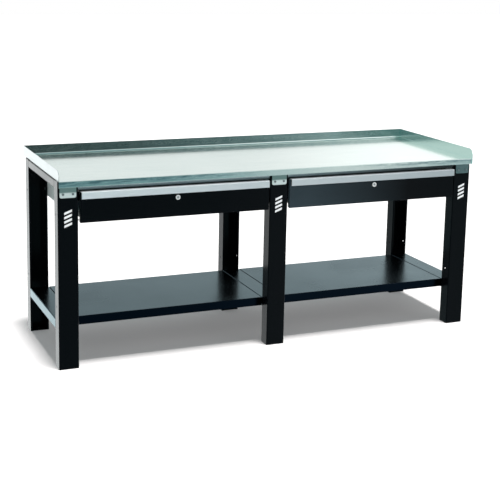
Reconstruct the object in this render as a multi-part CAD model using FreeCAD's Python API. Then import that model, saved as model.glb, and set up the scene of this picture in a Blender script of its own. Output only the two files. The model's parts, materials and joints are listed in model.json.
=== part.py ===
import FreeCAD, Part
import math
import os

from FreeCAD import Vector

# Workbench: six folded steel legs, a galvanised worktop with upstands, two drawers and a lower shelf.
# Millimetres. X runs along the bench, Y from the front to the back, Z up from the floor.
# The origin is at the middle of the bench's outer box, on the floor.

# ---- driving dimensions: whole bench
SURFACE_Z = 892.0          # working surface above the floor
FRAME_W = 2195.0           # outer faces of the end legs
FRAME_D = 671.0            # front faces of the front legs to back faces of the rear legs
TOP_W = 2200.0             # worktop, outer faces of the side upstands
TOP_D = 745.0              # apron's face to back upstand's outer face
TOP_INSET = 4.0            # worktop's left side lies this far inside the left legs' outer face
APRON_PROUD = 8.0          # apron's face in front of the legs' front faces
HANDLE_PROUD = 12.0        # handle's face in front of the apron's and drawer fronts' face

OVERALL_W = TOP_INSET + TOP_W
OVERALL_D = HANDLE_PROUD + TOP_D
LEFT = -OVERALL_W / 2.0                       # outer face of the left legs
FACE = -OVERALL_D / 2.0 + HANDLE_PROUD        # face of the apron and of the drawer fronts
FRONT = FACE + APRON_PROUD                    # front faces of the front legs
REAR = FRONT + FRAME_D                        # back faces of the rear legs

# ---- legs
LEG_W = 95.0
LEG_D = 69.0
LEG_SHEET = 2.5
LEG_BEND = 4.5             # outside bend radius
LEG_LIP = 9.0              # return lips beside the open side
TOP_SHEET = 2.0
LEG_TOP = SURFACE_Z - TOP_SHEET
LEG_PITCH = (FRAME_W - LEG_W) / 2.0
SIDES = ("left", "middle", "right")
HOLE_R = 4.5               # accessory holes in the legs' side flanges
HOLE_SETBACK = 38.0        # from the closed face
HOLE_LOW_Z = 296.0
HOLE_HIGH_Z = 733.0
RELIEF = 12.0              # cut at the outer top corner of the right front leg
RELIEF_Z = 862.0
FOOT_T = 4.0
ANCHOR_R = 6.0

# ---- rails between a front leg and a rear leg
RAIL_Y0 = FRONT + LEG_D
RAIL_Y1 = REAR - LEG_D
TOP_RAIL_H = 35.0
LOW_RAIL_H = 44.0
LOW_RAIL_TOP = 230.0

# ---- bays between neighbouring legs
BAY_W = LEG_PITCH - LEG_W
BAYS = ("left", "right")

# ---- long rails under the worktop
LONG_RAIL_SHEET = 2.0
LONG_RAIL_BOTTOM = 846.0
LONG_RAIL_FLANGE = 35.0
LONG_RAIL_SETBACK = 10.0   # front rail's face behind the front legs' faces
REAR_RAIL_SETBACK = 12.0   # rear rail's face in front of the rear legs' back faces
TAB_D = 30.0               # end tab that is bolted to the leg's flange
TAB_Z0 = 852.0
TAB_Z1 = 884.0

# ---- shelf
SHELF_SHEET = 1.5
SHELF_H = 42.0
SHELF_BEND = 3.0
SHELF_GAP = 1.5            # groove against the rails
SHELF_BOLT_Z = 208.0
SHELF_BOLT_INSET = 90.0

# ---- worktop
UPSTAND_H = 49.0
BACK_BEND = 9.0            # inside radius at the foot of the back upstand
SIDE_BEND = 1.5            # inside radius at the foot of a side upstand
UPSTAND_ROUND = 34.0       # front top corner of a side upstand
APRON_H = 30.0
APRON_LIP = 5.0
APRON_BEND = 3.0
CORE_T = 24.0
CORE_GAP = 2.0

# ---- brackets on the front legs
BRACKET_W = 77.0
BRACKET_T = 2.0
BRACKET_BOTTOM = 815.0
BRACKET_ROUND = 8.0
SCREW_Z = 832.0
SCREW_HALF_SPACING = 23.0
SCREW_R = 3.0
SCREW_HOLE_R = 3.3
SCREW_HEAD_R = 5.5
SCREW_HEAD_H = 3.0
SCREW_HEAD_ROUND = 1.0
SCREW_SOCKET_R = 2.4
SCREW_SOCKET_DEPTH = 1.8
SCREW_LENGTH = 12.0

# ---- stripes on the front legs
STRIPE_W = 36.0
STRIPE_H = 11.0
STRIPE_STEP = 20.0
STRIPE_SLANT = 14.0
STRIPE_T = 0.3
STRIPE_COUNT = 4
STRIPE_Z0 = 676.0

# ---- drawers
PAN_SHEET = 1.5
PAN_BEND = 3.0
PAN_D = 20.0               # depth of the folded drawer front
PAN_GAP = 8.0              # each side, to the legs
PAN_Z0 = 695.0
PAN_Z1 = 838.0
BOX_SHEET = 1.5
BOX_Z0 = 712.0
BOX_Z1 = 818.0
BOX_D = 570.0
BOX_BEND = 3.0
BOX_HEM = 9.0              # height of the side walls' doubled upper edge

# ---- handle profile
HANDLE_INSET = 4.0
HANDLE_T = 2.5
HANDLE_WEB_T = 3.0
HANDLE_H = 33.0
HANDLE_BACK = 30.0         # top web, front to back
HANDLE_ROUND = 3.5
HANDLE_TIP_ROUND = 1.0

# ---- runner panels and telescopic runners
PANEL_SHEET = 1.5
PANEL_FLANGE = 11.0
PANEL_Z0 = 703.0
PANEL_Z1 = 840.0
PANEL_SETBACK = 20.0
RUNNER_T = 13.0            # room between the runner panel and the drawer box
RUNNER_SHEET = 1.5
RUNNER_Z = 770.0
RUNNER_LENGTH = 540.0
RUNNER_SETBACK = 22.0
FIXED_H = 46.0
FIXED_REACH = 9.0
MIDDLE_H = 38.0
MIDDLE_X = 3.5
MIDDLE_REACH = 7.0
INNER_H = 30.0
INNER_X = 6.5

# ---- lock
LOCK_Z = 787.0
LOCK_FLANGE_R = 11.5
LOCK_FLANGE_H = 3.0
LOCK_FLANGE_ROUND = 1.5
LOCK_BARREL_R = 9.5
LOCK_HOLE_R = 9.8
LOCK_END = 25.0            # barrel's rear end behind the drawer front's face
LOCK_NUT_R = 13.0
LOCK_NUT_T = 3.0
PLUG_R = 6.5
PLUG_CLEARANCE = 0.05
PLUG_RECESS = 0.6
KEYWAY_W = 1.8
KEYWAY_H = 8.5
KEYWAY_DEPTH = 14.0
CAM_T = 2.0
CAM_W = 14.0
CAM_REACH = 66.0           # tip beyond the plug's axis: it passes the front rail's lower edge by 7
CAM_GAP = 0.4
CAM_NECK_R = 4.0
CAM_HEAD_R = 6.0
CAM_HEAD_H = 3.0

# ---- hexagon bolts M8 with nuts
BOLT_R = 4.0
BOLT_HOLE_R = 4.4
BOLT_HEAD_R = 7.5
BOLT_HEAD_H = 5.3
NUT_H = 6.5
NUT_BORE_R = 4.15
BOLT_TAIL = 2.5

X_AXIS = Vector(1, 0, 0)
Y_AXIS = Vector(0, 1, 0)
Z_AXIS = Vector(0, 0, 1)
OVER = 1.0                 # how far a cutting shape runs past what it cuts
NEAR = 0.01                # tolerance when an edge is picked by its place
ALIGNED = 0.999            # least cosine when an edge is picked by its direction
HEXAGON_STEP = 60.0        # degrees between a hexagon's corners


# ---- shape helpers
def box(x0, y0, z0, x1, y1, z1):
    return Part.makeBox(x1 - x0, y1 - y0, z1 - z0, Vector(x0, y0, z0))


def near(value, target):
    return abs(value - target) < NEAR


def edges_along(shape, axis):
    """The straight edges that run along axis."""
    return [e for e in shape.Edges if abs(e.tangentAt(e.FirstParameter).dot(axis)) > ALIGNED]


def rounded_along(shape, axis, radius):
    """Round every straight edge that runs along axis."""
    return shape.makeFillet(radius, edges_along(shape, axis))


def cylinder(x, y, z, radius, length, axis):
    return Part.makeCylinder(radius, length, Vector(x, y, z), axis)


def bolt_hole(point, reach):
    """Cutting shape for a bolt along X, reaching this far to both sides of the point."""
    return cylinder(point[0] - reach, point[1], point[2], BOLT_HOLE_R, 2 * reach, X_AXIS)


def hexagon(x, y, z, radius, length, axis):
    """Hexagonal bar, radius over its corners, starting at the point and running along axis."""
    centre = Vector(x, y, z)
    side = Z_AXIS
    other = axis.cross(side)
    corners = []
    for k in range(7):
        turn = math.radians(HEXAGON_STEP * k)
        corners.append(centre + side * (radius * math.cos(turn)) + other * (radius * math.sin(turn)))
    return Part.Face(Part.makePolygon(corners)).extrude(axis * length)


def prism(points, push):
    """Straight-sided solid: the closed outline through points, pushed along a vector."""
    outline = Part.makePolygon(points + [points[0]])
    return Part.Face(outline).extrude(push)


def pan(x0, y0, z0, x1, y1, z1, sheet, bend, open_side):
    """Folded tray with rounded bends, open on one side, given as a unit vector."""
    reach = open_side * (bend + OVER)
    low = Vector(x0 + min(reach.x, 0), y0 + min(reach.y, 0), z0 + min(reach.z, 0))
    high = Vector(x1 + max(reach.x, 0), y1 + max(reach.y, 0), z1 + max(reach.z, 0))
    outer = box(low.x, low.y, low.z, high.x, high.y, high.z)
    outer = outer.makeFillet(bend, outer.Edges)
    inner = box(low.x + sheet, low.y + sheet, low.z + sheet, high.x - sheet, high.y - sheet, high.z - sheet)
    inner = inner.makeFillet(bend - sheet, inner.Edges)
    return outer.cut(inner).common(box(x0, y0, z0, x1, y1, z1))


def bolt_with_nut(x, y, z, axis, grip):
    """Hexagon bolt and its nut: the head lies against the point, the shank runs along axis."""
    head = hexagon(x - axis.x * BOLT_HEAD_H, y - axis.y * BOLT_HEAD_H, z, BOLT_HEAD_R, BOLT_HEAD_H, axis)
    shank = cylinder(x, y, z, BOLT_R, grip + NUT_H + BOLT_TAIL, axis)
    nut_x = x + axis.x * grip
    nut_y = y + axis.y * grip
    nut = hexagon(nut_x, nut_y, z, BOLT_HEAD_R, NUT_H, axis)
    bore = cylinder(nut_x - axis.x * OVER, nut_y - axis.y * OVER, z, NUT_BORE_R, NUT_H + 2 * OVER, axis)
    return [head.fuse(shank), nut.cut(bore)]


# ---- places
def leg_x(index):
    """Left face of the leg pair: 0 left, 1 middle, 2 right."""
    return LEFT + index * LEG_PITCH


def bay_x(index):
    """Left end of the bay: the right faces of the legs on its left."""
    return leg_x(index) + LEG_W


# ---- legs and their feet
def leg(index, at_front):
    """Lipped channel, closed on its outer side of the bench and open towards the inside."""
    x = leg_x(index)
    y = FRONT if at_front else REAR - LEG_D
    outer = rounded_along(box(x, y, 0, x + LEG_W, y + LEG_D, LEG_TOP), Z_AXIS, LEG_BEND)
    t = LEG_SHEET
    hollow = box(x + t, y + t, -OVER, x + LEG_W - t, y + LEG_D - t, LEG_TOP + OVER)
    shape = outer.cut(rounded_along(hollow, Z_AXIS, LEG_BEND - t))
    slot_y = y + LEG_D - t - OVER if at_front else y - OVER
    slot_x1 = x + LEG_W - LEG_LIP
    shape = shape.cut(box(x + LEG_LIP, slot_y, -OVER, slot_x1, slot_y + t + 2 * OVER, LEG_TOP + OVER))
    hole_y = y + HOLE_SETBACK if at_front else y + LEG_D - HOLE_SETBACK
    for z in (HOLE_LOW_Z, HOLE_HIGH_Z):
        shape = shape.cut(cylinder(x - OVER, hole_y, z, HOLE_R, LEG_W + 2 * OVER, X_AXIS))
    for bay in range(len(BAYS)):
        for bolt in rail_bolt_points(bay):
            shape = shape.cut(bolt_hole(bolt, LEG_SHEET + OVER))
    if at_front:
        for side in (-1, 1):
            screw_x = x + LEG_W / 2.0 + side * SCREW_HALF_SPACING
            shape = shape.cut(cylinder(screw_x, y - OVER, SCREW_Z, SCREW_HOLE_R, t + 2 * OVER, Y_AXIS))
    if at_front and index == 2:
        shape = shape.cut(leg_relief(x + LEG_W, y))
    return shape


def leg_relief(x, y):
    """Cut at the leg's outer top corner, under the end of the worktop."""
    start = y - OVER
    points = [
        Vector(x + OVER, start, RELIEF_Z - RELIEF - OVER),
        Vector(x - RELIEF, start, RELIEF_Z),
        Vector(x - RELIEF, start, LEG_TOP + OVER),
        Vector(x + OVER, start, LEG_TOP + OVER),
    ]
    return prism(points, Y_AXIS * (LEG_BEND + 2 * OVER))


def foot_centre(index, at_front):
    x = leg_x(index) + LEG_W / 2.0
    y = FRONT + LEG_D / 2.0 if at_front else REAR - LEG_D / 2.0
    return x, y


def foot_plates():
    """A plate welded inside the foot of each leg, with a hole for a floor anchor."""
    plates = []
    half_w = LEG_W / 2.0 - LEG_SHEET
    half_d = LEG_D / 2.0 - LEG_SHEET
    for index in range(len(SIDES)):
        for at_front in (True, False):
            x, y = foot_centre(index, at_front)
            plate = box(x - half_w, y - half_d, 0, x + half_w, y + half_d, FOOT_T)
            plate = rounded_along(plate, Z_AXIS, LEG_BEND - LEG_SHEET)
            plates.append(plate.cut(cylinder(x, y, -OVER, ANCHOR_R, FOOT_T + 2 * OVER, Z_AXIS)))
    return Part.makeCompound(plates)


# ---- rails between front and rear legs
def side_rail(index, top, height):
    """Channel with its open side down, as wide as the legs and butted between them."""
    x = leg_x(index)
    t = LEG_SHEET
    deep = top - height - LEG_BEND - OVER
    outer = rounded_along(box(x, RAIL_Y0, deep, x + LEG_W, RAIL_Y1, top), Y_AXIS, LEG_BEND)
    inner = box(x + t, RAIL_Y0 - OVER, deep - OVER, x + LEG_W - t, RAIL_Y1 + OVER, top - t)
    inner = rounded_along(inner, Y_AXIS, LEG_BEND - t)
    shape = outer.cut(inner).common(box(x, RAIL_Y0, top - height, x + LEG_W, RAIL_Y1, top))
    if top == LOW_RAIL_TOP:
        for bay in range(len(BAYS)):
            for point in shelf_bolt_points(bay):
                shape = shape.cut(bolt_hole(point, LEG_SHEET + OVER))
    return shape


# ---- long rails under the worktop
def rail_bolt_points(bay):
    """Where the long rails' end tabs are bolted: (x of the leg's face, y, z, side)."""
    z = (TAB_Z0 + TAB_Z1) / 2.0
    front_y = FRONT + LONG_RAIL_SETBACK + LONG_RAIL_SHEET + TAB_D / 2.0
    rear_y = REAR - REAR_RAIL_SETBACK - LONG_RAIL_SHEET - TAB_D / 2.0
    x = bay_x(bay)
    return [(x + side * BAY_W, y, z, side) for side in (0, 1) for y in (front_y, rear_y)]


def long_rail(bay, at_front):
    """Angle rail with an upright web, a top flange and a bolted tab at each end."""
    x0 = bay_x(bay)
    x1 = x0 + BAY_W
    t = LONG_RAIL_SHEET
    if at_front:
        web_y = FRONT + LONG_RAIL_SETBACK
        flange = (web_y, web_y + LONG_RAIL_FLANGE)
        tab = (web_y + t, web_y + t + TAB_D)
    else:
        web_y = REAR - REAR_RAIL_SETBACK - t
        flange = (web_y + t - LONG_RAIL_FLANGE, web_y + t)
        tab = (web_y - TAB_D, web_y)
    shape = box(x0, web_y, LONG_RAIL_BOTTOM, x1, web_y + t, LEG_TOP)
    shape = shape.fuse(box(x0, flange[0], LEG_TOP - t, x1, flange[1], LEG_TOP))
    for tab_x in (x0, x1 - t):
        shape = shape.fuse(box(tab_x, tab[0], TAB_Z0, tab_x + t, tab[1], TAB_Z1))
    shape = shape.removeSplitter()
    for point in rail_bolt_points(bay):
        shape = shape.cut(bolt_hole(point, LONG_RAIL_SHEET + OVER))
    return shape


def rail_bolts():
    """Bolts and nuts that hold the long rails' tabs to the legs."""
    pieces = []
    t = LONG_RAIL_SHEET
    for bay in range(len(BAYS)):
        for x, y, z, side in rail_bolt_points(bay):
            inward = -X_AXIS if side == 0 else X_AXIS
            start = x + t if side == 0 else x - t
            pieces += bolt_with_nut(start, y, z, inward, t + LEG_SHEET)
    return Part.makeCompound(pieces)


# ---- shelf
def shelf(bay):
    """Folded pan, open side down, that lies between two lower side rails."""
    x0 = bay_x(bay) + SHELF_GAP
    x1 = bay_x(bay) + BAY_W - SHELF_GAP
    y0 = RAIL_Y0 + OVER
    y1 = RAIL_Y1 - OVER
    z0 = LOW_RAIL_TOP - SHELF_H
    shape = pan(x0, y0, z0, x1, y1, LOW_RAIL_TOP, SHELF_SHEET, SHELF_BEND, -Z_AXIS)
    for point in shelf_bolt_points(bay):
        shape = shape.cut(bolt_hole(point, SHELF_GAP + SHELF_SHEET + OVER))
    return shape


def shelf_bolt_points(bay):
    """Where the shelf's side flanges are bolted to the rails: (x of the rail's face, y, z, side)."""
    x = bay_x(bay)
    rows = (RAIL_Y0 + SHELF_BOLT_INSET, RAIL_Y1 - SHELF_BOLT_INSET)
    return [(x + side * BAY_W, y, SHELF_BOLT_Z, side) for side in (0, 1) for y in rows]


def shelf_bolts():
    """Bolts with nuts and the distance washers that fill the groove beside each shelf."""
    pieces = []
    for bay in range(len(BAYS)):
        for x, y, z, side in shelf_bolt_points(bay):
            inward = -X_AXIS if side == 0 else X_AXIS
            start = x + SHELF_GAP + SHELF_SHEET if side == 0 else x - SHELF_GAP - SHELF_SHEET
            pieces += bolt_with_nut(start, y, z, inward, SHELF_SHEET + SHELF_GAP + LEG_SHEET)
            washer_x = x if side == 0 else x - SHELF_GAP
            washer = cylinder(washer_x, y, z, BOLT_HEAD_R, SHELF_GAP, X_AXIS)
            bore = cylinder(washer_x - OVER, y, z, BOLT_HOLE_R, SHELF_GAP + 2 * OVER, X_AXIS)
            pieces.append(washer.cut(bore))
    return Part.makeCompound(pieces)


# ---- worktop
def tray_solid(inset, bottom, back_bend, side_bend):
    """Solid block with rounded lower edges at its back and sides, a given inset from the tray's outside."""
    x0 = LEFT + TOP_INSET + inset
    x1 = x0 + TOP_W - 2 * inset
    y1 = FACE + TOP_D - inset
    top = SURFACE_Z + UPSTAND_H + inset * OVER
    along_x = box(x0, FACE - inset, bottom, x1, y1, top)
    back_edge = [e for e in along_x.Edges if near(e.CenterOfMass.y, y1) and near(e.CenterOfMass.z, bottom)]
    along_x = along_x.makeFillet(back_bend, back_edge)
    along_y = box(x0, FACE - inset, bottom, x1, y1, top)
    side_edges = [e for e in edges_along(along_y, Y_AXIS) if near(e.CenterOfMass.z, bottom)]
    along_y = along_y.makeFillet(side_bend, side_edges)
    return along_x.common(along_y)


def upstand_outline():
    """Everything behind the rounded front top corners of the side upstands."""
    r = UPSTAND_ROUND
    top = SURFACE_Z + UPSTAND_H
    middle = math.sqrt(0.5) * r
    x = LEFT - OVER
    start = Vector(x, FACE, top - r)
    bend = Vector(x, FACE + r - middle, top - r + middle)
    end = Vector(x, FACE + r, top)
    back = FACE + TOP_D + OVER
    edges = [
        Part.Arc(start, bend, end).toShape(),
        Part.makeLine(end, Vector(x, back, top)),
        Part.makeLine(Vector(x, back, top), Vector(x, back, LEG_TOP - OVER)),
        Part.makeLine(Vector(x, back, LEG_TOP - OVER), Vector(x, FACE, LEG_TOP - OVER)),
        Part.makeLine(Vector(x, FACE, LEG_TOP - OVER), start),
    ]
    return Part.Face(Part.Wire(edges)).extrude(X_AXIS * (OVERALL_W + 2 * OVER))


def worktop_sheet():
    """Galvanised sheet folded up at the back and sides, and down at the front with a return lip."""
    t = TOP_SHEET
    outside = tray_solid(0.0, LEG_TOP, BACK_BEND + t, SIDE_BEND + t)
    tray = outside.cut(tray_solid(t, SURFACE_Z, BACK_BEND, SIDE_BEND)).common(upstand_outline())
    x0 = LEFT + TOP_INSET
    x1 = x0 + TOP_W
    bottom = SURFACE_Z - APRON_H
    # the tray gives way to the folded strip over the first stretch behind the apron's face
    strip_y = FACE + APRON_LIP
    flat_x0 = x0 + SIDE_BEND + t
    flat_x1 = x1 - SIDE_BEND - t
    tray = tray.cut(box(flat_x0, FACE - OVER, LEG_TOP - OVER, flat_x1, strip_y, SURFACE_Z + OVER))
    tray = tray.cut(box(x0 - OVER, FACE - OVER, LEG_TOP - OVER, x1 + OVER, strip_y, LEG_TOP + t / 2.0))
    outer = box(x0, FACE, bottom, x1, strip_y, SURFACE_Z)
    folds = [e for e in edges_along(outer, X_AXIS) if near(e.CenterOfMass.y, FACE)]
    outer = outer.makeFillet(APRON_BEND, folds)
    inner = box(x0 - OVER, FACE + t, bottom + t, x1 + OVER, strip_y + OVER, SURFACE_Z - t)
    folds = [e for e in edges_along(inner, X_AXIS) if near(e.CenterOfMass.y, FACE + t)]
    strip = outer.cut(inner.makeFillet(APRON_BEND - t, folds))
    return tray.fuse(strip).removeSplitter()


def core_board(bay):
    """Stiffening board bonded to the sheet's underside, between the rails."""
    x0 = bay_x(bay) + CORE_GAP
    x1 = bay_x(bay) + BAY_W - CORE_GAP
    y0 = FRONT + LONG_RAIL_SETBACK + LONG_RAIL_FLANGE + CORE_GAP
    y1 = REAR - REAR_RAIL_SETBACK - LONG_RAIL_FLANGE - CORE_GAP
    return box(x0, y0, LEG_TOP - CORE_T, x1, y1, LEG_TOP)


# ---- brackets and stripes on the front legs
def bracket(index):
    """Plate over the leg's face, from under the apron down to two screws."""
    x0 = leg_x(index) + (LEG_W - BRACKET_W) / 2.0
    x1 = x0 + BRACKET_W
    plate = box(x0, FRONT - BRACKET_T, BRACKET_BOTTOM, x1, FRONT, LEG_TOP)
    corners = [e for e in edges_along(plate, Y_AXIS) if e.CenterOfMass.z < SCREW_Z]
    plate = plate.makeFillet(BRACKET_ROUND, corners)
    for side in (-1, 1):
        x = (x0 + x1) / 2.0 + side * SCREW_HALF_SPACING
        hole = cylinder(x, FRONT - BRACKET_T - OVER, SCREW_Z, SCREW_HOLE_R, BRACKET_T + 2 * OVER, Y_AXIS)
        plate = plate.cut(hole)
    return plate


def bracket_screws():
    """Socket-head screws through the brackets into the legs."""
    screws = []
    for index in range(len(SIDES)):
        for side in (-1, 1):
            x = leg_x(index) + LEG_W / 2.0 + side * SCREW_HALF_SPACING
            seat = FRONT - BRACKET_T
            head = cylinder(x, seat - SCREW_HEAD_H, SCREW_Z, SCREW_HEAD_R, SCREW_HEAD_H, Y_AXIS)
            rim = [e for e in head.Edges if near(e.CenterOfMass.y, seat - SCREW_HEAD_H)]
            head = head.makeFillet(SCREW_HEAD_ROUND, rim)
            shank = cylinder(x, seat, SCREW_Z, SCREW_R, SCREW_LENGTH, Y_AXIS)
            socket = hexagon(x, seat - SCREW_HEAD_H - OVER, SCREW_Z, SCREW_SOCKET_R,
                             SCREW_SOCKET_DEPTH + OVER, Y_AXIS)
            screws.append(head.fuse(shank).cut(socket))
    return Part.makeCompound(screws)


def leg_stripes():
    """Plain slanted stripes stuck to the front legs' faces."""
    stripes = []
    for index in range(len(SIDES)):
        x0 = leg_x(index) + (LEG_W - STRIPE_W) / 2.0
        x1 = x0 + STRIPE_W
        for k in range(STRIPE_COUNT):
            z = STRIPE_Z0 + k * STRIPE_STEP
            points = [
                Vector(x0, FRONT - STRIPE_T, z),
                Vector(x1, FRONT - STRIPE_T, z + STRIPE_SLANT),
                Vector(x1, FRONT - STRIPE_T, z + STRIPE_SLANT + STRIPE_H),
                Vector(x0, FRONT - STRIPE_T, z + STRIPE_H),
            ]
            stripes.append(prism(points, Y_AXIS * STRIPE_T))
    return Part.makeCompound(stripes)


# ---- runner panels and their bolts
def panel_bolt_points(bay, side):
    """The legs' upper holes, used on this side to hold the runner panel."""
    x = bay_x(bay) + side * BAY_W
    return [(x, FRONT + HOLE_SETBACK, HOLE_HIGH_Z), (x, REAR - HOLE_SETBACK, HOLE_HIGH_Z)]


def runner_panel(bay, side):
    """Folded panel from the front leg to the rear leg that carries one fixed runner member."""
    face = bay_x(bay) + side * BAY_W
    inward = 1 if side == 0 else -1
    y0 = FRONT + PANEL_SETBACK
    y1 = REAR - PANEL_SETBACK
    x_web = sorted((face, face + inward * PANEL_SHEET))
    x_flange = sorted((face, face + inward * PANEL_FLANGE))
    shape = box(x_web[0], y0, PANEL_Z0, x_web[1], y1, PANEL_Z1)
    for z in (PANEL_Z0, PANEL_Z1 - PANEL_SHEET):
        shape = shape.fuse(box(x_flange[0], y0, z, x_flange[1], y1, z + PANEL_SHEET))
    shape = shape.removeSplitter()
    for point in panel_bolt_points(bay, side):
        shape = shape.cut(bolt_hole(point, PANEL_SHEET + OVER))
    return shape


def panel_bolts():
    """Bolts and nuts that hold the runner panels to the legs: the heads lie inside the legs."""
    pieces = []
    for bay in range(len(BAYS)):
        for side in (0, 1):
            inward = X_AXIS if side == 0 else -X_AXIS
            for x, y, z in panel_bolt_points(bay, side):
                start = x - inward.x * LEG_SHEET
                head = hexagon(start - inward.x * BOLT_HEAD_H, y, z, BOLT_HEAD_R, BOLT_HEAD_H, inward)
                shank = cylinder(start, y, z, BOLT_R, LEG_SHEET + PANEL_SHEET + NUT_H, inward)
                nut_x = x + inward.x * PANEL_SHEET
                nut = hexagon(nut_x, y, z, BOLT_HEAD_R, NUT_H, inward)
                bore = cylinder(nut_x - inward.x * OVER, y, z, NUT_BORE_R, NUT_H + 2 * OVER, inward)
                pieces += [head.fuse(shank), nut.cut(bore)]
    return Part.makeCompound(pieces)


# ---- telescopic runners: three nested members on each side of a drawer
def runner_member(bay, side, offset, height, reach, towards_drawer):
    """Channel on its side: a web at an offset from the panel, and two flanges."""
    base = bay_x(bay) + PANEL_SHEET if side == 0 else bay_x(bay) + BAY_W - PANEL_SHEET
    inward = 1 if side == 0 else -1
    y0 = FRONT + RUNNER_SETBACK
    y1 = y0 + RUNNER_LENGTH
    t = RUNNER_SHEET
    web_start = offset if towards_drawer else offset + reach - t
    web = sorted((base + inward * web_start, base + inward * (web_start + t)))
    flange = sorted((base + inward * offset, base + inward * (offset + reach)))
    z0 = RUNNER_Z - height / 2.0
    z1 = RUNNER_Z + height / 2.0
    shape = box(web[0], y0, z0, web[1], y1, z1)
    for z in (z0, z1 - t):
        shape = shape.fuse(box(flange[0], y0, z, flange[1], y1, z + t))
    return shape.removeSplitter()


def runner_fixed(bay, side):
    return runner_member(bay, side, 0.0, FIXED_H, FIXED_REACH, True)


def runner_middle(bay, side):
    return runner_member(bay, side, MIDDLE_X, MIDDLE_H, MIDDLE_REACH, True)


def runner_inner(bay, side):
    return runner_member(bay, side, INNER_X, INNER_H, RUNNER_T - INNER_X, False)


# ---- drawers
def drawer_box(bay):
    """Open-topped tray welded from a bottom with a rolled rim and four walls, the side walls hemmed."""
    x0 = bay_x(bay) + PANEL_SHEET + RUNNER_T
    x1 = bay_x(bay) + BAY_W - PANEL_SHEET - RUNNER_T
    y0 = FACE + PAN_D
    y1 = y0 + BOX_D
    tray = pan(x0, y0, BOX_Z0, x1, y1, BOX_Z1, BOX_SHEET, BOX_BEND, Z_AXIS)
    seam_z = BOX_Z0 + BOX_BEND
    lock = cylinder(bay_x(bay) + BAY_W / 2.0, y0 - OVER, LOCK_Z, LOCK_HOLE_R, BOX_SHEET + 2 * OVER, Y_AXIS)
    sheets = [
        tray.common(box(x0, y0, BOX_Z0, x1, y1, seam_z)),
        tray.common(box(x0, y0, seam_z, x1, y0 + BOX_BEND, BOX_Z1)).cut(lock),
        tray.common(box(x0, y1 - BOX_BEND, seam_z, x1, y1, BOX_Z1)),
    ]
    hem_t = 2 * BOX_SHEET
    for wall_x in (x0, x1 - hem_t):
        wall = tray.common(box(wall_x, y0 + BOX_BEND, seam_z, wall_x + hem_t, y1 - BOX_BEND, BOX_Z1))
        hem = box(wall_x, y0 + BOX_BEND, BOX_Z1 - BOX_HEM, wall_x + hem_t, y1 - BOX_BEND, BOX_Z1)
        sheets.append(wall.fuse(hem).removeSplitter())
    return Part.makeCompound(sheets)


def drawer_front(bay):
    """Folded pan, open to the back, with a hole for the lock."""
    x0 = bay_x(bay) + PAN_GAP
    x1 = bay_x(bay) + BAY_W - PAN_GAP
    shape = pan(x0, FACE, PAN_Z0, x1, FACE + PAN_D, PAN_Z1, PAN_SHEET, PAN_BEND, Y_AXIS)
    lock = cylinder((x0 + x1) / 2.0, FACE - OVER, LOCK_Z, LOCK_HOLE_R, PAN_SHEET + 2 * OVER, Y_AXIS)
    return shape.cut(lock)


def handle(bay):
    """Grip profile: a web over the drawer front's top edge and a plate standing off its face."""
    x0 = bay_x(bay) + PAN_GAP + HANDLE_INSET
    x1 = bay_x(bay) + BAY_W - PAN_GAP - HANDLE_INSET
    y0 = FACE - HANDLE_PROUD
    y1 = y0 + HANDLE_BACK
    z1 = PAN_Z1 + HANDLE_WEB_T
    z0 = z1 - HANDLE_H
    inner_y = y0 + HANDLE_T
    points = [
        Vector(x0, y0, z0),
        Vector(x0, y0, z1),
        Vector(x0, y1, z1),
        Vector(x0, y1, PAN_Z1),
        Vector(x0, inner_y, PAN_Z1),
        Vector(x0, inner_y, z0),
    ]
    profile = prism(points, X_AXIS * (x1 - x0))
    upper = [e for e in edges_along(profile, X_AXIS) if near(e.CenterOfMass.y, y0) and near(e.CenterOfMass.z, z1)]
    profile = profile.makeFillet(HANDLE_ROUND, upper)
    tip = [e for e in edges_along(profile, X_AXIS) if near(e.CenterOfMass.z, z0)]
    return profile.makeFillet(HANDLE_TIP_ROUND, tip)


# ---- locks
def lock_centre_x(bay):
    return bay_x(bay) + BAY_W / 2.0


def lock_housing(bay):
    """Flanged barrel through the drawer front, and the nut behind the box's front wall."""
    x = lock_centre_x(bay)
    y_rim = FACE - LOCK_FLANGE_H
    y_end = FACE + LOCK_END
    flange = cylinder(x, y_rim, LOCK_Z, LOCK_FLANGE_R, LOCK_FLANGE_H, Y_AXIS)
    rim = [e for e in flange.Edges if near(e.CenterOfMass.y, y_rim)]
    flange = flange.makeFillet(LOCK_FLANGE_ROUND, rim)
    shape = flange.fuse(cylinder(x, FACE, LOCK_Z, LOCK_BARREL_R, y_end - FACE, Y_AXIS))
    nut_y = FACE + PAN_D + BOX_SHEET
    shape = shape.fuse(hexagon(x, nut_y, LOCK_Z, LOCK_NUT_R, LOCK_NUT_T, Y_AXIS))
    bore_r = PLUG_R + PLUG_CLEARANCE
    bore = cylinder(x, y_rim - OVER, LOCK_Z, bore_r, y_end - y_rim + 2 * OVER, Y_AXIS)
    return shape.removeSplitter().cut(bore)


def lock_plug(bay):
    """Turning plug with its keyway upright at rest."""
    x = lock_centre_x(bay)
    y0 = FACE - LOCK_FLANGE_H + PLUG_RECESS
    y1 = FACE + LOCK_END + CAM_GAP
    plug = cylinder(x, y0, LOCK_Z, PLUG_R, y1 - y0, Y_AXIS)
    keyway = box(x - KEYWAY_W / 2.0, y0 - OVER, LOCK_Z - KEYWAY_H / 2.0,
                 x + KEYWAY_W / 2.0, y0 + KEYWAY_DEPTH, LOCK_Z + KEYWAY_H / 2.0)
    return plug.cut(keyway)


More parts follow.
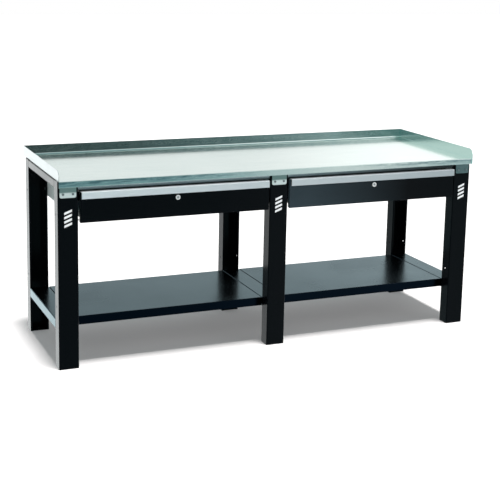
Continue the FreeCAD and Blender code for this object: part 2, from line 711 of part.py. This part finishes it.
def lock_cam(bay):
    """Cam on the plug's end, level to the left at rest, and the screw that holds it."""
    x = lock_centre_x(bay)
    y = FACE + LOCK_END + CAM_GAP
    half = CAM_W / 2.0
    tip = cylinder(x - CAM_REACH + half, y, LOCK_Z, half, CAM_T, Y_AXIS)
    hub = cylinder(x, y, LOCK_Z, half, CAM_T, Y_AXIS)
    arm = box(x - CAM_REACH + half, y, LOCK_Z - half, x, y + CAM_T, LOCK_Z + half)
    cam = arm.fuse(tip).fuse(hub).removeSplitter()
    cam_hole = cylinder(x, y - OVER, LOCK_Z, CAM_NECK_R, CAM_T + 2 * OVER, Y_AXIS)
    head = hexagon(x, y + CAM_T, LOCK_Z, CAM_HEAD_R, CAM_HEAD_H, Y_AXIS)
    neck = cylinder(x, y, LOCK_Z, CAM_NECK_R - 2 * PLUG_CLEARANCE, CAM_T, Y_AXIS)
    return Part.makeCompound([cam.cut(cam_hole), head.fuse(neck)])


# ---- the assembly
def build_nodes():
    nodes = {}
    for index, side in enumerate(SIDES):
        nodes["leg_front_" + side] = leg(index, True)
        nodes["leg_rear_" + side] = leg(index, False)
        nodes["side_rail_top_" + side] = side_rail(index, LEG_TOP, TOP_RAIL_H)
        nodes["side_rail_low_" + side] = side_rail(index, LOW_RAIL_TOP, LOW_RAIL_H)
        nodes["bracket_" + side] = bracket(index)
    nodes["foot_plates"] = foot_plates()
    nodes["bracket_screws"] = bracket_screws()
    nodes["leg_stripes"] = leg_stripes()
    nodes["worktop_sheet"] = worktop_sheet()
    nodes["rail_bolts"] = rail_bolts()
    nodes["shelf_bolts"] = shelf_bolts()
    nodes["panel_bolts"] = panel_bolts()
    for bay, name in enumerate(BAYS):
        nodes["front_rail_" + name] = long_rail(bay, True)
        nodes["rear_rail_" + name] = long_rail(bay, False)
        nodes["shelf_" + name] = shelf(bay)
        nodes["core_board_" + name] = core_board(bay)
        nodes["drawer_box_" + name] = drawer_box(bay)
        nodes["drawer_front_" + name] = drawer_front(bay)
        nodes["handle_" + name] = handle(bay)
        nodes["lock_housing_" + name] = lock_housing(bay)
        nodes["lock_plug_" + name] = lock_plug(bay)
        nodes["lock_cam_" + name] = lock_cam(bay)
        for side, hand in enumerate(("l", "r")):
            nodes["runner_panel_%s_%s" % (name, hand)] = runner_panel(bay, side)
            nodes["runner_fixed_%s_%s" % (name, hand)] = runner_fixed(bay, side)
            nodes["runner_middle_%s_%s" % (name, hand)] = runner_middle(bay, side)
            nodes["runner_inner_%s_%s" % (name, hand)] = runner_inner(bay, side)
    return nodes


os.makedirs("parts", exist_ok=True)
for node_name, node_shape in build_nodes().items():
    node_shape.exportStep("parts/%s.step" % node_name)
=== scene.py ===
import json
import math

import bpy
from mathutils import Matrix, Vector


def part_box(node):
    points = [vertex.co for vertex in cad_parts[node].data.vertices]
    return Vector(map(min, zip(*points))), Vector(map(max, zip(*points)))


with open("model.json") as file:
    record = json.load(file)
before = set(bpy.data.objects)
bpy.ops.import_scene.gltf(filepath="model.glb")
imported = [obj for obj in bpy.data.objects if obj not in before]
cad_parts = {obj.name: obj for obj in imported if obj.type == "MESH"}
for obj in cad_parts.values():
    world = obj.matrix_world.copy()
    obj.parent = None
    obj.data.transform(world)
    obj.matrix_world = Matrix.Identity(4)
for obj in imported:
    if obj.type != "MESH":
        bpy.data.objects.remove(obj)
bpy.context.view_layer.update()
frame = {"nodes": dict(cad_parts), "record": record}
NODES = frame["nodes"]
MM = 0.001

# ---- the camera: the place and the turn that show the bench as the reference view does
CAMERA_PLACE = (-2.3084, -5.3530, 1.9017)
CAMERA_YAW = math.radians(23.27)
CAMERA_PITCH = math.radians(10.73)
CAMERA_ROLL = math.radians(1.21)
CAMERA_LENS = 82.73
CAMERA_SHIFT = -0.15
SENSOR_WIDTH = 36.0

# ---- the floor and the light
FLOOR_SIZE = 60.0
FLOOR_COLOUR = (0.66, 0.635, 0.63)
FLOOR_GLOW = 0.163             # keeps the bench's shadow a flat middle grey
SUN_STRENGTH = 5.3
SUN_WIDTH = math.radians(11)
SUN_TILT = (math.radians(6), math.radians(3), 0)
DIFFUSE_SHARE = 0.4            # how much of the surroundings' light falls on dull surfaces

# The surroundings that the sheet mirrors, as stops of a bearing in degrees and the level there. Bearing 0
# is straight behind the bench, and + is to the right.
BELOW_HORIZON = (
    (-180, 0.30), (-120, 0.30), (-60, 0.16), (-38, 0.20), (-12, 2.6), (50, 2.2),
    (110, 0.7), (143, 0.50), (151, 1.05), (159, 0.44), (166, 0.40), (180, 0.30),
)
ABOVE_HORIZON = (
    (-180, 0.06), (-168, 0.08), (-145, 0.50), (-75, 0.50), (-45, 1.25), (0, 1.02),
    (23, 1.02), (32, 1.36), (60, 1.25), (110, 0.9), (140, 1.0), (149, 0.80),
    (157, 0.16), (168, 0.03), (180, 0.03),
)
# rises are the upward component of a direction: 0 is level and 1 is straight up
HORIZON_BLUR = 0.04
CEILING_RISES = (0.45, 0.85)
CEILING_SHARE = 0.65           # of the level lower down
SOFT_BOX_LOW_RISES = (0.30, 0.45)
SOFT_BOX_HIGH_RISES = (0.60, 0.80)
SOFT_BOX_FRONT = (-0.25, -0.50)
SOFT_BOX_LEVEL = 1.3
TINT_LEVELS = (0.3, 1.1)       # levels that have the dim tint and the bright tint
DIM_TINT = (0.48, 0.92, 1.0)
BRIGHT_TINT = (0.95, 0.985, 0.99)


# ---------------------------------------------------------------- node helpers
MIDDLE = (0.3, 0.7)            # the range that a noise texture mostly stays in
ALIGNED = (0.90, 0.99)         # cosines, from a little turned to aligned
CELL_WARP_SCALE = 1.7          # of the warping noise to the cells


class Shader:
    """A material's node tree with a Principled shader, and short calls to add nodes to it."""

    def __init__(self, name):
        self.material = bpy.data.materials.new(name)
        self.material.use_nodes = True
        self.tree = self.material.node_tree
        self.shader = self.tree.nodes["Principled BSDF"]
        self.place = self.add("ShaderNodeTexCoord").outputs["Object"]

    def add(self, kind, **settings):
        node = self.tree.nodes.new(kind)
        for key, value in settings.items():
            setattr(node, key, value)
        return node

    def link(self, start, end):
        self.tree.links.new(start, end)

    def put(self, socket, value):
        """Set an input to a value, or link it to an output."""
        if isinstance(value, bpy.types.NodeSocket):
            self.link(value, socket)
        else:
            socket.default_value = value

    def stretched(self, scale):
        """The place, with each axis scaled."""
        node = self.add("ShaderNodeMapping")
        self.link(self.place, node.inputs["Vector"])
        node.inputs["Scale"].default_value = scale
        return node.outputs["Vector"]

    def noise(self, scale, detail=2.0, roughness=0.5, stretch=(1, 1, 1)):
        node = self.add("ShaderNodeTexNoise")
        self.link(self.stretched(stretch), node.inputs["Vector"])
        node.inputs["Scale"].default_value = scale
        node.inputs["Detail"].default_value = detail
        node.inputs["Roughness"].default_value = roughness
        return node.outputs["Fac"]

    def cells(self, scale, warp=0.0):
        """Flat random values, one to each crystal-like cell."""
        vector = self.stretched((1, 1, 1))
        if warp:
            shift = self.add("ShaderNodeTexNoise")
            self.link(vector, shift.inputs["Vector"])
            shift.inputs["Scale"].default_value = scale * CELL_WARP_SCALE
            mix = self.add("ShaderNodeVectorMath", operation="MULTIPLY_ADD")
            self.link(shift.outputs["Color"], mix.inputs[0])
            mix.inputs[1].default_value = (warp, warp, warp)
            self.link(vector, mix.inputs[2])
            vector = mix.outputs["Vector"]
        node = self.add("ShaderNodeTexVoronoi")
        self.link(vector, node.inputs["Vector"])
        node.inputs["Scale"].default_value = scale
        split = self.add("ShaderNodeSeparateColor")
        self.link(node.outputs["Color"], split.inputs["Color"])
        return split.outputs["Red"]

    def spread(self, value, low, high, start=0.0, end=1.0):
        """Map start..end to low..high."""
        node = self.add("ShaderNodeMapRange")
        self.put(node.inputs["Value"], value)
        node.inputs["From Min"].default_value = start
        node.inputs["From Max"].default_value = end
        node.inputs["To Min"].default_value = low
        node.inputs["To Max"].default_value = high
        return node.outputs["Result"]

    def rise(self, value, start, end):
        """0 up to start, then up to 1 at end."""
        return self.spread(value, 0.0, 1.0, start, end)

    def fall(self, value, start, end):
        """1 up to start, then down to 0 at end."""
        return self.spread(value, 1.0, 0.0, start, end)

    def mix(self, factor, first, second):
        """The first colour at factor 0, the second at 1."""
        node = self.add("ShaderNodeMix", data_type="RGBA")
        self.put(node.inputs[0], factor)
        self.put(node.inputs[6], first)
        self.put(node.inputs[7], second)
        return node.outputs[2]

    def maths(self, operation, first, second=0.0):
        node = self.add("ShaderNodeMath", operation=operation)
        self.put(node.inputs[0], first)
        self.put(node.inputs[1], second)
        return node.outputs[0]

    def sum(self, *values):
        total = values[0]
        for value in values[1:]:
            total = self.maths("ADD", total, value)
        return total

    def times(self, first, second):
        return self.maths("MULTIPLY", first, second)

    def axis(self, letter):
        """One coordinate of the place, in metres."""
        split = self.add("ShaderNodeSeparateXYZ")
        self.link(self.place, split.inputs[0])
        return split.outputs[letter]

    def edges(self, radius):
        """1 near sharp edges, 0 elsewhere."""
        bevel = self.add("ShaderNodeBevel", samples=4)
        bevel.inputs["Radius"].default_value = radius
        geometry = self.add("ShaderNodeNewGeometry")
        dot = self.add("ShaderNodeVectorMath", operation="DOT_PRODUCT")
        self.link(bevel.outputs["Normal"], dot.inputs[0])
        self.link(geometry.outputs["Normal"], dot.inputs[1])
        return self.fall(dot.outputs["Value"], *ALIGNED)

    def bump(self, height, distance, strength=1.0, under=None):
        """The normal of a height field, laid over another normal if one is given."""
        node = self.add("ShaderNodeBump")
        self.link(height, node.inputs["Height"])
        node.inputs["Distance"].default_value = distance
        node.inputs["Strength"].default_value = strength
        if under is not None:
            self.link(under, node.inputs["Normal"])
        return node.outputs["Normal"]

    def finish(self, **values):
        """Set or link the shader's inputs, named with _ for each space, and give the material."""
        for name, value in values.items():
            self.put(self.shader.inputs[name.replace("_", " ")], value)
        return self.material


def rgba(red, green, blue):
    return (red, green, blue, 1.0)


# ---------------------------------------------------------------- materials
WORKTOP_LOW, WORKTOP_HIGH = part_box("worktop_sheet")
UPSTAND_HEIGHT = 49 * MM
SURFACE_Z = WORKTOP_HIGH.z - UPSTAND_HEIGHT
BRACKET_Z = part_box("bracket_left")[0].z
RAIL_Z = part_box("front_rail_left")[0].z

BLACK = (0.0020, 0.0024, 0.0032)
WEAR_SHARE = 0.55              # how far the wear on an edge lightens the paint
DROP_SLOPE = 0.055             # of the working surface's shading, down towards the front
# the apron, outside, back and right tints are painted shade on the worktop's edges, laid on in tinted_zones
APRON_TINT = (0.16, 0.25, 0.27)
APRON_UNTINTED_X = 0.15           # where the apron has no tint, and how far from there it comes in
APRON_TINT_REACH = (0.20, 0.65)
OUTSIDE_TINT = (0.46, 0.48, 0.48)
BACK_TINT = (0.20, 0.33, 0.33)
BACK_TINT_SHARE = 0.38         # at the first of the two places along the bench, none at the second
BACK_TINT_REACH = (-1.1, 0.6)
RIGHT_TINT = (0.50, 0.66, 0.62)
LINE_SHADE = 0.86              # of a brushed metal's lines to its colour


def powder_coat(name, colour, roughness, sheen, tint=(0.85, 0.95, 1.0), painted_reflection=None, metal=0.0):
    """Semi-gloss powder coat: fine orange peel, cloudy gloss, a little rubbed wear on the edges.

    A painted reflection is a colour, and the two places along the bench between which it dies away."""
    s = Shader(name)
    rubbed = s.rise(s.noise(scale=45.0, detail=4.0), 0.50, 0.72)
    worn = s.times(s.edges(0.6 * MM), rubbed)
    lighter = tuple(min(1.0, 2.6 * c + 0.02) for c in colour)
    paint = rgba(*colour)
    if painted_reflection is not None:
        painted_reflection_colour, start, end = painted_reflection
        paint = s.mix(s.fall(s.axis("X"), start, end), paint, rgba(*painted_reflection_colour))
    base = s.mix(s.times(worn, WEAR_SHARE), paint, rgba(*lighter))
    peel = s.bump(s.noise(scale=700.0), 0.06 * MM, 0.35)
    wave = s.bump(s.noise(scale=22.0, detail=1.0), 0.5 * MM, 0.10, peel)
    cloud = s.noise(scale=3.0, detail=3.0)
    gloss = s.spread(cloud, roughness - 0.04, roughness + 0.05, *MIDDLE)
    return s.finish(
        Base_Color=base, Roughness=gloss, Normal=wave, Specular_IOR_Level=sheen, IOR=1.5,
        Specular_Tint=rgba(*tint), Metallic=metal,
    )


def tinted_zones(s, base):
    """Tint the worktop's folded-up and folded-down edges; returns the colour and the outside's mask.

    The tints are painted shade. Whether the real sheet is stained there or mirrors something isn't known."""
    along, height = s.axis("X"), s.axis("Z")
    # the apron, up to its fold and towards its ends, in patches
    apron = s.times(s.rise(height, WORKTOP_LOW.z, WORKTOP_LOW.z + 22 * MM),
                    s.fall(height, SURFACE_Z - 2.5 * MM, SURFACE_Z - 1.5 * MM))
    ends = s.rise(s.maths("ABSOLUTE", s.sum(along, -APRON_UNTINTED_X)), *APRON_TINT_REACH)
    patchy = s.rise(s.noise(scale=30.0, detail=4.0, roughness=0.7, stretch=(0.35, 4.0, 4.0)), 0.38, 0.60)
    base = s.mix(s.times(s.times(apron, ends), patchy), base, rgba(*APRON_TINT))
    # the outside of the left upstand
    outside = s.fall(along, WORKTOP_LOW.x + 0.5 * MM, WORKTOP_LOW.x + 1.5 * MM)
    base = s.mix(outside, base, rgba(*OUTSIDE_TINT))
    # the back upstand, most of all towards its left end
    back = s.rise(s.axis("Y"), WORKTOP_HIGH.y - 12.5 * MM, WORKTOP_HIGH.y - 4.5 * MM)
    back = s.times(back, s.spread(along, BACK_TINT_SHARE, 0.0, *BACK_TINT_REACH))
    base = s.mix(back, base, rgba(*BACK_TINT))
    # the right upstand
    right = s.rise(along, WORKTOP_HIGH.x - 10 * MM, WORKTOP_HIGH.x - 6 * MM)
    return s.mix(right, base, rgba(*RIGHT_TINT)), outside


def galvanised(name):
    """Galvanised sheet: faint spangle, rolling streaks along the bench, dull patches, edges tinted with
    painted shade.
    """
    s = Shader(name)
    spangle = s.cells(55.0, 0.01)
    fine = s.cells(140.0, 0.004)
    streak = s.noise(scale=9.0, detail=4.0, roughness=0.6, stretch=(0.5, 12.0, 12.0))
    cloud = s.noise(scale=2.2, detail=3.0)
    tone = s.sum(
        s.spread(spangle, -0.05, 0.05), s.spread(fine, -0.03, 0.03),
        s.spread(streak, -0.18, 0.18, *MIDDLE), s.spread(cloud, -0.08, 0.08, *MIDDLE), 0.5,
    )
    base = s.mix(tone, rgba(0.56, 0.64, 0.61), rgba(0.80, 0.83, 0.79))
    base, outside = tinted_zones(s, base)
    rough = s.sum(
        s.spread(spangle, 0.15, 0.18), s.spread(streak, -0.01, 0.03, *MIDDLE), s.times(outside, 0.16),
    )
    grain = s.bump(s.noise(scale=420.0), 0.02 * MM, 0.25)
    # the working surface is shaded as if it dropped a little towards the front
    facing = s.add("ShaderNodeSeparateXYZ")
    s.link(s.add("ShaderNodeNewGeometry").outputs["Normal"], facing.inputs[0])
    level = s.rise(facing.outputs["Z"], *ALIGNED)
    drop = s.bump(s.times(s.axis("Y"), level), DROP_SLOPE, 1.0, grain)
    return s.finish(Base_Color=base, Metallic=1.0, Roughness=rough, Normal=drop)


def brushed(name, colour, roughness, stretch, metal=1.0, depth=0.01, fades=()):
    """Drawn or brushed metal: long fine lines, given as the stretch of the noise.

    Each fade is an axis, two places on it, and what the colour is multiplied by past the second: painted
    shade where that darkens the colour, painted light where it lightens it."""
    s = Shader(name)
    lines = s.noise(scale=60.0, detail=3.0, roughness=0.6, stretch=stretch)
    darker = tuple(LINE_SHADE * c for c in colour)
    base = s.mix(s.rise(lines, *MIDDLE), rgba(*darker), rgba(*colour))
    for letter, start, end, left in fades:
        faded_colour = rgba(*(share * c for share, c in zip(left, colour)))
        base = s.mix(s.rise(s.axis(letter), start, end), base, faded_colour)
    soft = s.spread(s.noise(scale=6.0), -0.02, 0.02)
    rough = s.sum(s.spread(lines, roughness - 0.05, roughness + 0.06, *MIDDLE), soft)
    return s.finish(Base_Color=base, Metallic=metal, Roughness=rough, Normal=s.bump(lines, depth * MM, 0.5))


def plywood(name):
    """Raw board with grain along the bench."""
    s = Shader(name)
    grain = s.noise(scale=14.0, detail=5.0, roughness=0.6, stretch=(0.6, 9.0, 9.0))
    base = s.mix(s.rise(grain, *MIDDLE), rgba(0.36, 0.23, 0.12), rgba(0.60, 0.44, 0.27))
    return s.finish(Base_Color=base, Roughness=0.7, Normal=s.bump(grain, 0.3 * MM, 0.4))


def vinyl(name):
    """White film, slightly soiled."""
    s = Shader(name)
    dirt = s.spread(s.noise(scale=60.0, detail=4.0), 0.0, 0.35, 0.45, 0.8)
    base = s.mix(dirt, rgba(0.84, 0.86, 0.87), rgba(0.60, 0.62, 0.63))
    return s.finish(Base_Color=base, Roughness=0.42)


SHELF_LOOK = powder_coat(
    "shelf_powder_coat_look", (0.0045, 0.0085, 0.0150), roughness=0.24, sheen=0.16,
    tint=(0.85, 0.97, 1.0), metal=1.0,
)
SLOT_MATERIALS = {
    "black_powder_coat": powder_coat("black_powder_coat_look", BLACK, roughness=0.17, sheen=0.08),
    "shelf_powder_coat": SHELF_LOOK,
    "galvanised_sheet": galvanised("galvanised_look"),
    # the handles darken towards the right end of the bench: painted shade
    "handle_aluminium": brushed(
        "handle_look", (0.94, 0.96, 0.98), roughness=0.34, stretch=(0.3, 20.0, 20.0), metal=0.60,
        depth=0.02, fades=(("X", -0.9, 0.9, (0.54, 0.55, 0.56)),),
    ),
    "nickel": brushed("nickel_look", (1.0, 1.0, 1.0), roughness=0.30, stretch=(4.0, 4.0, 4.0), metal=0.25),
    "zinc_plated": brushed(
        "zinc_look", (0.70, 0.71, 0.73), roughness=0.30, stretch=(1.0, 8.0, 1.0), depth=0.02,
    ),
    "core_plywood": plywood("plywood_look"),
    "stripe_white": vinyl("vinyl_look"),
}

# Looks that belong to the nodes whose names start so, in place of their slot's. Their fades and the painted
# reflection are painted light and shade in the bench's own axes: shade, a shadow and reflections that the
# light here doesn't give.
NODE_LOOKS = {
    "bracket_screws": brushed(
        "screw_look", (0.30, 0.32, 0.33), roughness=0.35, stretch=(8.0, 8.0, 8.0),
    ),
    # the bracket's top is darker as a painted shadow under the apron, and the right bracket darker still as
    # painted shade
    "bracket_": brushed(
        "bracket_look", (0.84, 0.92, 0.90), roughness=0.42, stretch=(8.0, 8.0, 2.0), metal=0.45,
        fades=(("Z", BRACKET_Z + 21 * MM, BRACKET_Z + 27 * MM, (0.20, 0.29, 0.28)),
               ("X", 0.6, 0.95, (0.12, 0.18, 0.19))),
    ),
    "runner_panel": brushed(
        "panel_look", (0.80, 0.88, 0.86), roughness=0.42, stretch=(8.0, 8.0, 2.0), metal=0.45,
    ),
    # the rail's grey, four times lighter towards its top, is painted reflection, and its darkening towards
    # the right end is painted shade
    "front_rail": brushed(
        "rail_look", (0.10, 0.13, 0.14), roughness=0.42, stretch=(2.0, 8.0, 8.0), metal=0.35,
        fades=(("Z", RAIL_Z + 2 * MM, RAIL_Z + 14 * MM, (4.0, 4.0, 4.0)),
               ("X", 0.1, 0.9, (0.26, 0.28, 0.28))),
    ),
    "side_rail_low": SHELF_LOOK,
    # this front is lighter and bluer towards its left end: a painted reflection
    "drawer_front_right": powder_coat(
        "painted_reflection_front_look", BLACK, roughness=0.17, sheen=0.08, painted_reflection=((0.032, 0.048, 0.058), 0.15, 0.72),
    ),
    "lock_plug": brushed(
        "plug_look", (0.50, 0.51, 0.52), roughness=0.35, stretch=(8.0, 8.0, 8.0), metal=0.5,
    ),
}
EDGE_WIDTH = 0.35 * MM
EDGE_ANGLE = math.radians(40)


def dress_nodes():
    """Give every CAD node its look, and a hair of bevel on its sharp edges."""
    slots = {row["node"]: row["material_slot"] for row in frame["record"]["subparts"]}
    for name, node in NODES.items():
        own = [look for start, look in NODE_LOOKS.items() if name.startswith(start)]
        look = own[0] if own else SLOT_MATERIALS[slots[name]]
        for slot in node.material_slots:
            slot.material = look
        node.data.polygons.foreach_set("use_smooth", [False] * len(node.data.polygons))
        bevel = node.modifiers.new("edge", "BEVEL")
        bevel.width = EDGE_WIDTH
        bevel.segments = 2
        bevel.limit_method = "ANGLE"
        bevel.angle_limit = EDGE_ANGLE
        bevel.harden_normals = True


# ---------------------------------------------------------------- stage, light and camera
def stage_floor():
    """A plain pale floor, one quad."""
    mesh = bpy.data.meshes.new("floor")
    half = FLOOR_SIZE / 2
    corners = [(-half, -half, 0), (half, -half, 0), (half, half, 0), (-half, half, 0)]
    mesh.from_pydata(corners, [], [(0, 1, 2, 3)])
    floor = bpy.data.objects.new("floor", mesh)
    bpy.context.collection.objects.link(floor)
    s = Shader("floor_look")
    s.finish(
        Base_Color=rgba(*FLOOR_COLOUR), Roughness=0.9, Specular_IOR_Level=0.1,
        Emission_Color=rgba(1.0, 1.0, 1.0), Emission_Strength=FLOOR_GLOW,
    )
    # clear from below, so that the bench's underside can be seen
    clear = s.add("ShaderNodeMixShader")
    s.link(s.add("ShaderNodeNewGeometry").outputs["Backfacing"], clear.inputs["Fac"])
    s.link(s.shader.outputs[0], clear.inputs[1])
    s.link(s.add("ShaderNodeBsdfTransparent").outputs[0], clear.inputs[2])
    s.link(clear.outputs[0], s.tree.nodes["Material Output"].inputs["Surface"])
    mesh.materials.append(s.material)
    floor.visible_glossy = False


def studio_world():
    """White to the eye; in reflections, bright behind the bench and dark in front of it."""
    world = bpy.data.worlds.new("studio")
    bpy.context.scene.world = world
    world.use_nodes = True
    tree = world.node_tree
    nodes = tree.nodes
    nodes.clear()

    def math_node(operation, first, second=None):
        node = nodes.new("ShaderNodeMath")
        node.operation = operation
        for socket, value in zip(node.inputs, (first, second)):
            if isinstance(value, bpy.types.NodeSocket):
                tree.links.new(value, socket)
            elif value is not None:
                socket.default_value = value
        return node.outputs[0]

    def ramp(value, start, end, low, high):
        node = nodes.new("ShaderNodeMapRange")
        node.interpolation_type = "SMOOTHSTEP"
        tree.links.new(value, node.inputs["Value"])
        node.inputs["From Min"].default_value = start
        node.inputs["From Max"].default_value = end
        node.inputs["To Min"].default_value = low
        node.inputs["To Max"].default_value = high
        return node.outputs["Result"]

    direction = nodes.new("ShaderNodeTexCoord").outputs["Generated"]
    split = nodes.new("ShaderNodeSeparateXYZ")
    tree.links.new(direction, split.inputs[0])
    rise = split.outputs["Z"]

    def around(stops):
        """The level at the direction's bearing, from the stops."""
        bearing = math_node("ARCTAN2", split.outputs["X"], split.outputs["Y"])
        level = None
        for (start, low), (end, high) in zip(stops, stops[1:]):
            part = ramp(bearing, math.radians(start), math.radians(end), 0.0, high - low)
            level = math_node("ADD", part, low if level is None else level)
        return level

    side = ramp(rise, -HORIZON_BLUR, HORIZON_BLUR, 0.0, 1.0)
    level = math_node("ADD", math_node("MULTIPLY", around(ABOVE_HORIZON), side),
                      math_node("MULTIPLY", around(BELOW_HORIZON), math_node("SUBTRACT", 1.0, side)))
    level = math_node("MULTIPLY", level, ramp(rise, *CEILING_RISES, 1.0, CEILING_SHARE))
    # a long soft box high in front of the bench
    high = math_node("MULTIPLY", ramp(rise, *SOFT_BOX_LOW_RISES, 0.0, 1.0),
                     ramp(rise, *SOFT_BOX_HIGH_RISES, 1.0, 0.0))
    front = ramp(split.outputs["Y"], *SOFT_BOX_FRONT, 0.0, SOFT_BOX_LEVEL)
    level = math_node("ADD", level, math_node("MULTIPLY", high, front))

    light = nodes.new("ShaderNodeBackground")
    tint = nodes.new("ShaderNodeMix")
    tint.data_type = "RGBA"
    tree.links.new(ramp(level, *TINT_LEVELS, 0.0, 1.0), tint.inputs[0])
    tint.inputs[6].default_value = rgba(*DIM_TINT)
    tint.inputs[7].default_value = rgba(*BRIGHT_TINT)
    tree.links.new(tint.outputs[2], light.inputs["Color"])
    path = nodes.new("ShaderNodeLightPath")
    share = ramp(path.outputs["Is Diffuse Ray"], 0.0, 1.0, 1.0, DIFFUSE_SHARE)
    tree.links.new(math_node("MULTIPLY", level, share), light.inputs["Strength"])
    seen = nodes.new("ShaderNodeBackground")
    seen.inputs["Color"].default_value = rgba(1, 1, 1)
    seen.inputs["Strength"].default_value = 1.0
    mix = nodes.new("ShaderNodeMixShader")
    tree.links.new(path.outputs["Is Camera Ray"], mix.inputs["Fac"])
    tree.links.new(light.outputs[0], mix.inputs[1])
    tree.links.new(seen.outputs[0], mix.inputs[2])
    output = nodes.new("ShaderNodeOutputWorld")
    tree.links.new(mix.outputs[0], output.inputs["Surface"])


def studio_lights():
    """One soft light above and a little in front, for the shadow on the floor."""
    data = bpy.data.lights.new("top_light", "SUN")
    data.energy = SUN_STRENGTH
    data.angle = SUN_WIDTH
    lamp = bpy.data.objects.new("top_light", data)
    bpy.context.collection.objects.link(lamp)
    lamp.rotation_euler = SUN_TILT
    lamp.visible_glossy = False


def camera():
    """The camera, turned by its yaw, pitch and roll."""
    data = bpy.data.cameras.new("camera")
    data.lens = CAMERA_LENS
    data.sensor_width = SENSOR_WIDTH
    data.shift_y = CAMERA_SHIFT
    seer = bpy.data.objects.new("camera", data)
    bpy.context.collection.objects.link(seer)
    cos_yaw, sin_yaw = math.cos(CAMERA_YAW), math.sin(CAMERA_YAW)
    cos_pitch, sin_pitch = math.cos(CAMERA_PITCH), math.sin(CAMERA_PITCH)
    forward = Vector((sin_yaw * cos_pitch, cos_yaw * cos_pitch, -sin_pitch))
    level = Vector((cos_yaw, -sin_yaw, 0))
    upright = level.cross(forward)
    right = math.cos(CAMERA_ROLL) * level + math.sin(CAMERA_ROLL) * upright
    up = -math.sin(CAMERA_ROLL) * level + math.cos(CAMERA_ROLL) * upright
    turn = Matrix((right, up, -forward)).transposed().to_4x4()
    seer.matrix_world = Matrix.Translation(CAMERA_PLACE) @ turn
    bpy.context.scene.camera = seer


dress_nodes()
stage_floor()
studio_world()
studio_lights()
camera()
bpy.context.scene.view_settings.view_transform = "Standard"
